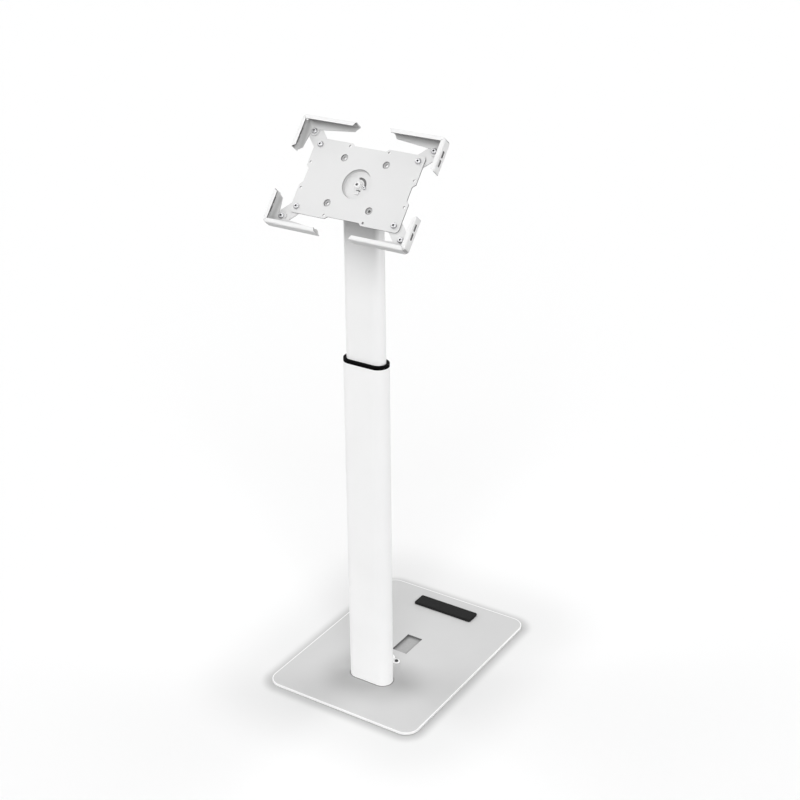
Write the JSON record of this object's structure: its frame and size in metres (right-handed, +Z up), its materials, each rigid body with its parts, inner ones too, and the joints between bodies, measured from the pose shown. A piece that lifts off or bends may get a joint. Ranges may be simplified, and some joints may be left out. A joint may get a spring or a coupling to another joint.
{
  "type": "tablet floor stand",
  "caption": "Free-standing tablet stand: flat steel base, telescopic flat-oval column, tilting and turning mount plate with sliding corner claws.",
  "frame": {"origin": "centre of the base's outline, on the floor under the foam mat", "axes": "+X to the user's right, +Y towards the back of the stand, +Z up along the column"},
  "size_m": [0.296, 0.398, 0.9793],
  "materials": {
    "white_paint": "fine satin powder coat",
    "base_paint": "fine satin powder coat",
    "black_plastic": "moulded, satin",
    "black_rubber": "matt",
    "bare_aluminium": "machined",
    "screw_steel": "zinc plated",
    "dark_steel": "black paint",
    "bright_rod": "ground and chromed",
    "grey_foam": "closed-cell foam sheet, matt"
  },
  "bodies": {
    "base": {"base_plate": "base_paint", "base_mat": "grey_foam", "rear_pad": "black_rubber", "column_block": "bare_aluminium", "column_bolts": "screw_steel", "outer_tube": "white_paint", "guide_collar": "black_plastic", "cable_saddle": "white_paint", "saddle_screws": "screw_steel", "gas_cylinder": "dark_steel"},
    "upper_column": {"inner_tube": "white_paint", "glide_shoe": "black_plastic", "gas_rod": "bright_rod", "column_cap": "bare_aluminium", "tilt_fork": "white_paint", "fork_screws": "screw_steel", "hinge_bolt": "screw_steel", "hinge_nut": "screw_steel", "hinge_washers": "black_plastic"},
    "tilt_head": {"tilt_yoke": "white_paint", "pivot_bolt": "screw_steel", "pivot_washer": "screw_steel", "friction_disc": "black_plastic", "pivot_nut": "screw_steel", "stop_screw": "screw_steel"},
    "turning_plate": {"mount_plate": "white_paint", "clamp_screws": "screw_steel", "clamp_nuts": "screw_steel"},
    "holder_top_right": {"arm_top_right": "white_paint", "claw_top_right": "white_paint", "claw_screw_top_right": "screw_steel", "claw_nut_top_right": "screw_steel"},
    "holder_top_left": {"arm_top_left": "white_paint", "claw_top_left": "white_paint", "claw_screw_top_left": "screw_steel", "claw_nut_top_left": "screw_steel"},
    "holder_bottom_right": {"arm_bottom_right": "white_paint", "claw_bottom_right": "white_paint", "claw_screw_bottom_right": "screw_steel", "claw_nut_bottom_right": "screw_steel"},
    "holder_bottom_left": {"arm_bottom_left": "white_paint", "claw_bottom_left": "white_paint", "claw_screw_bottom_left": "screw_steel", "claw_nut_bottom_left": "screw_steel"}
  },
  "joints": [
    {"name": "height", "type": "slide", "parent": "base", "child": "upper_column", "axis": [0, 0, 1], "range_m": [-0.2, 0.15]},
    {"name": "tilt", "type": "hinge", "parent": "upper_column", "child": "tilt_head", "pos_m": [0, -0.091, 0.8848], "axis": [-1, 0, 0], "range_deg": [-35, 49.8]},
    {"name": "turn", "type": "hinge", "parent": "tilt_head", "child": "turning_plate", "pos_m": [0, -0.1088, 0.89984], "axis": [0, -0.7638, 0.6455], "range_deg": [-102, 2]},
    {"name": "grip_top_right", "type": "slide", "parent": "turning_plate", "child": "holder_top_right", "axis": [0.7071, 0.4564, 0.5401], "range_m": [-0.007, 0.007]},
    {"name": "grip_top_left", "type": "slide", "parent": "turning_plate", "child": "holder_top_left", "axis": [-0.7071, 0.4564, 0.5401], "range_m": [-0.007, 0.007]},
    {"name": "grip_bottom_right", "type": "slide", "parent": "turning_plate", "child": "holder_bottom_right", "axis": [0.7071, -0.4564, -0.5401], "range_m": [-0.007, 0.007]},
    {"name": "grip_bottom_left", "type": "slide", "parent": "turning_plate", "child": "holder_bottom_left", "axis": [-0.7071, -0.4564, -0.5401], "range_m": [-0.007, 0.007]}
  ]
}
